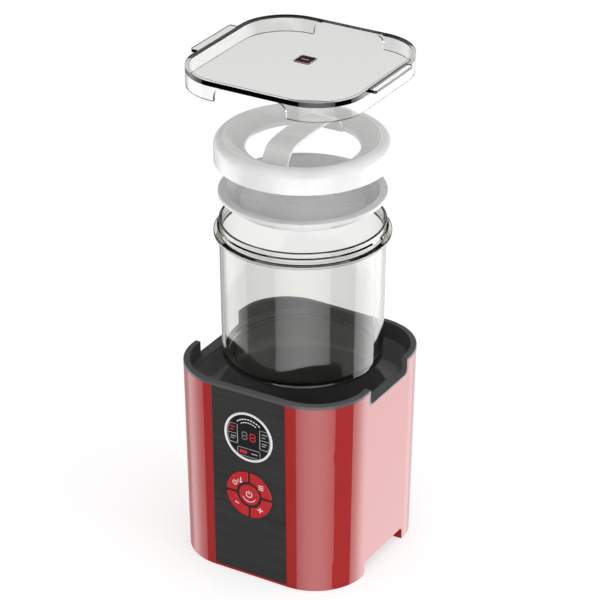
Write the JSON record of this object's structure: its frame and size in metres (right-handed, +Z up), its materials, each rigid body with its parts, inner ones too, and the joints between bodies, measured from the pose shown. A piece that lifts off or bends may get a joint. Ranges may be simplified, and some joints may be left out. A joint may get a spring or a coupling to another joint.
{
  "type": "yogurt maker",
  "caption": "Square glossy base with a display and round button cluster; above it a clear jar, inner lid, white locking ring with arched handle, and clear cover, lifted apart.",
  "frame": {"origin": "on the ground, under the middle of the object's bounding box", "axes": "+Z up; the control panel and display face -Y; +X is the user's right as they face the panel seen from the front"},
  "size_m": [0.18, 0.1813, 0.4709],
  "materials": {
    "red_shell": "gloss",
    "grey_panel": "satin, finely lined",
    "bright_trim": "polished, bright",
    "dark_lens": "gloss",
    "display_block": "matte",
    "board_green": "satin",
    "screw_steel": "satin",
    "switch_black": "matte",
    "dark_liner": "satin",
    "heater_coating": "matte dark coating",
    "heater_amber": "satin",
    "sensor_steel": "satin",
    "core_steel": "satin",
    "relay_blue": "satin",
    "can_black": "satin",
    "connector_white": "satin",
    "cable_grey": "satin",
    "inlet_black": "satin",
    "pin_brass": "polished",
    "foot_rubber": "matte",
    "red_button": "gloss",
    "clear_jar": "clear, gloss",
    "lid_white": "satin gloss",
    "ring_white": "gloss",
    "seal_silicone": "matte",
    "clear_cover": "clear, gloss",
    "badge_dark": "gloss"
  },
  "bodies": {
    "base": {"outer_shell": "red_shell", "control_panel": "grey_panel", "display_bezel": "bright_trim", "display_lens": "dark_lens", "display_module": "display_block", "display_board": "board_green", "display_board_screws": "screw_steel", "tact_switches": "switch_black", "buzzer": "switch_black", "inner_liner": "dark_liner", "liner_screws": "screw_steel", "heating_plate": "heater_coating", "heater_film": "heater_amber", "temperature_sensor": "sensor_steel", "sensor_clip": "sensor_steel", "thermal_fuse": "sensor_steel", "fuse_clamp": "sensor_steel", "power_board": "board_green", "power_board_screws": "screw_steel", "transformer": "core_steel", "relay": "relay_blue", "capacitors": "can_black", "ribbon_connectors": "connector_white", "ribbon_cable": "cable_grey", "base_plate": "dark_liner", "base_screws": "screw_steel", "power_inlet": "inlet_black", "inlet_pins": "pin_brass", "foot_front_left": "foot_rubber", "foot_front_right": "foot_rubber", "foot_rear_left": "foot_rubber", "foot_rear_right": "foot_rubber"},
    "jar": {"jar": "clear_jar"},
    "inner_lid": {"inner_lid": "lid_white"},
    "ring_seal": {"ring_seal": "seal_silicone"},
    "lock_ring": {"lock_ring": "ring_white", "ring_handle": "ring_white"},
    "cover": {"cover": "clear_cover", "cover_badge": "badge_dark"},
    "button_time": {"button_time": "red_button"},
    "button_menu": {"button_menu": "red_button"},
    "button_minus": {"button_minus": "red_button"},
    "button_plus": {"button_plus": "red_button"},
    "button_power": {"button_power": "red_button"}
  },
  "joints": [
    {"name": "jar_lift", "type": "slide", "parent": "base", "child": "jar", "axis": [0, 0, 1], "range_m": [-0.1539, 0]},
    {"name": "inner_lid_lift", "type": "slide", "parent": "jar", "child": "inner_lid", "axis": [0, 0, 1], "range_m": [-0.0235, 0]},
    {"name": "ring_lift", "type": "slide", "parent": "inner_lid", "child": "ring_seal", "axis": [0, 0, 1], "range_m": [-0.0427, 0]},
    {"name": "ring_turn", "type": "hinge", "parent": "ring_seal", "child": "lock_ring", "pos_m": [0, 0.0037, 0.3764], "axis": [0, 0, 1], "range_deg": [0, 40]},
    {"name": "cover_lift", "type": "slide", "parent": "ring_seal", "child": "cover", "axis": [0, 0, 1], "range_m": [-0.0572, 0]},
    {"name": "time_press", "type": "slide", "parent": "base", "child": "button_time", "axis": [0, 0.9999, 0.0171], "range_m": [0, 0.0006], "stiffness_N_per_m": 1200},
    {"name": "menu_press", "type": "slide", "parent": "base", "child": "button_menu", "axis": [0, 0.9999, 0.0171], "range_m": [0, 0.0006], "stiffness_N_per_m": 1200},
    {"name": "minus_press", "type": "slide", "parent": "base", "child": "button_minus", "axis": [0, 0.9999, 0.0171], "range_m": [0, 0.0006], "stiffness_N_per_m": 1200},
    {"name": "plus_press", "type": "slide", "parent": "base", "child": "button_plus", "axis": [0, 0.9999, 0.0171], "range_m": [0, 0.0006], "stiffness_N_per_m": 1200},
    {"name": "power_press", "type": "slide", "parent": "base", "child": "button_power", "axis": [0, 0.9999, 0.0171], "range_m": [0, 0.0006], "stiffness_N_per_m": 1200}
  ]
}
